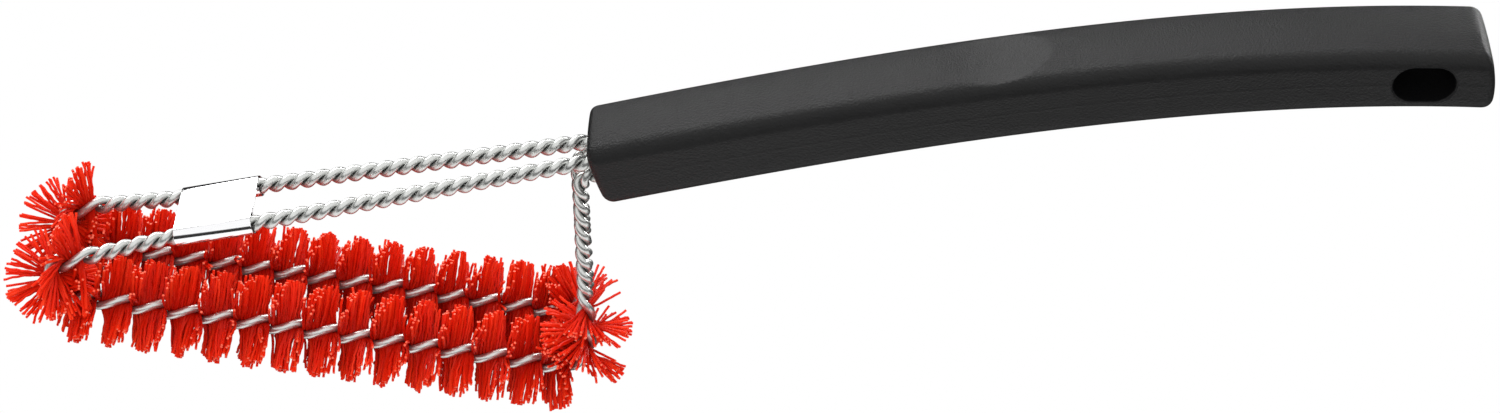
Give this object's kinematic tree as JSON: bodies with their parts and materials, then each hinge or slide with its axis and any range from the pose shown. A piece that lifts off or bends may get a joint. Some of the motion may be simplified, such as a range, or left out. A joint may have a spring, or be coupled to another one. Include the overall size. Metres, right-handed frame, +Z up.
{
  "type": "grill cleaning brush",
  "caption": "Long-handled grill brush: bristle rows held in twisted wire rods that form a triangular head, a crimped steel sleeve and an arched moulded grip with a hanging slot.",
  "frame": {"origin": "on the surface that the bristle tips rest on, under the middle of the object's box", "axes": "+X along the brush from the far bend of the wire rods towards the handle's tail, +Y across it towards the rear rod, +Z up in the working pose, with both bristle rows level"},
  "size_m": [0.4257, 0.0548, 0.1889],
  "materials": {
    "handle_plastic": "fine matte grain",
    "zinc_wire": "bright zinc-plated",
    "bright_steel": "polished",
    "red_nylon": "satin crimped filament",
    "plain_steel": "plain"
  },
  "bodies": {
    "root": {"handle": "handle_plastic", "rod_ferrule": "plain_steel", "crimped_sleeve": "bright_steel", "front_wire_a": "zinc_wire", "front_wire_b": "zinc_wire", "front_tuft_01": "red_nylon", "front_tuft_02": "red_nylon", "front_tuft_03": "red_nylon", "front_tuft_04": "red_nylon", "front_tuft_05": "red_nylon", "front_tuft_06": "red_nylon", "front_tuft_07": "red_nylon", "front_tuft_08": "red_nylon", "front_tuft_09": "red_nylon", "front_tuft_10": "red_nylon", "front_tuft_11": "red_nylon", "front_tuft_12": "red_nylon", "front_tuft_13": "red_nylon", "front_tuft_14": "red_nylon", "front_tuft_15": "red_nylon", "front_tuft_16": "red_nylon", "front_tuft_17": "red_nylon", "front_tuft_18": "red_nylon", "front_tuft_19": "red_nylon", "rear_wire_a": "zinc_wire", "rear_wire_b": "zinc_wire", "rear_tuft_01": "red_nylon", "rear_tuft_02": "red_nylon", "rear_tuft_03": "red_nylon", "rear_tuft_04": "red_nylon", "rear_tuft_05": "red_nylon", "rear_tuft_06": "red_nylon", "rear_tuft_07": "red_nylon", "rear_tuft_08": "red_nylon", "rear_tuft_09": "red_nylon", "rear_tuft_10": "red_nylon", "rear_tuft_11": "red_nylon", "rear_tuft_12": "red_nylon", "rear_tuft_13": "red_nylon", "rear_tuft_14": "red_nylon", "rear_tuft_15": "red_nylon", "rear_tuft_16": "red_nylon", "rear_tuft_17": "red_nylon", "rear_tuft_18": "red_nylon"}
  },
  "joints": []
}
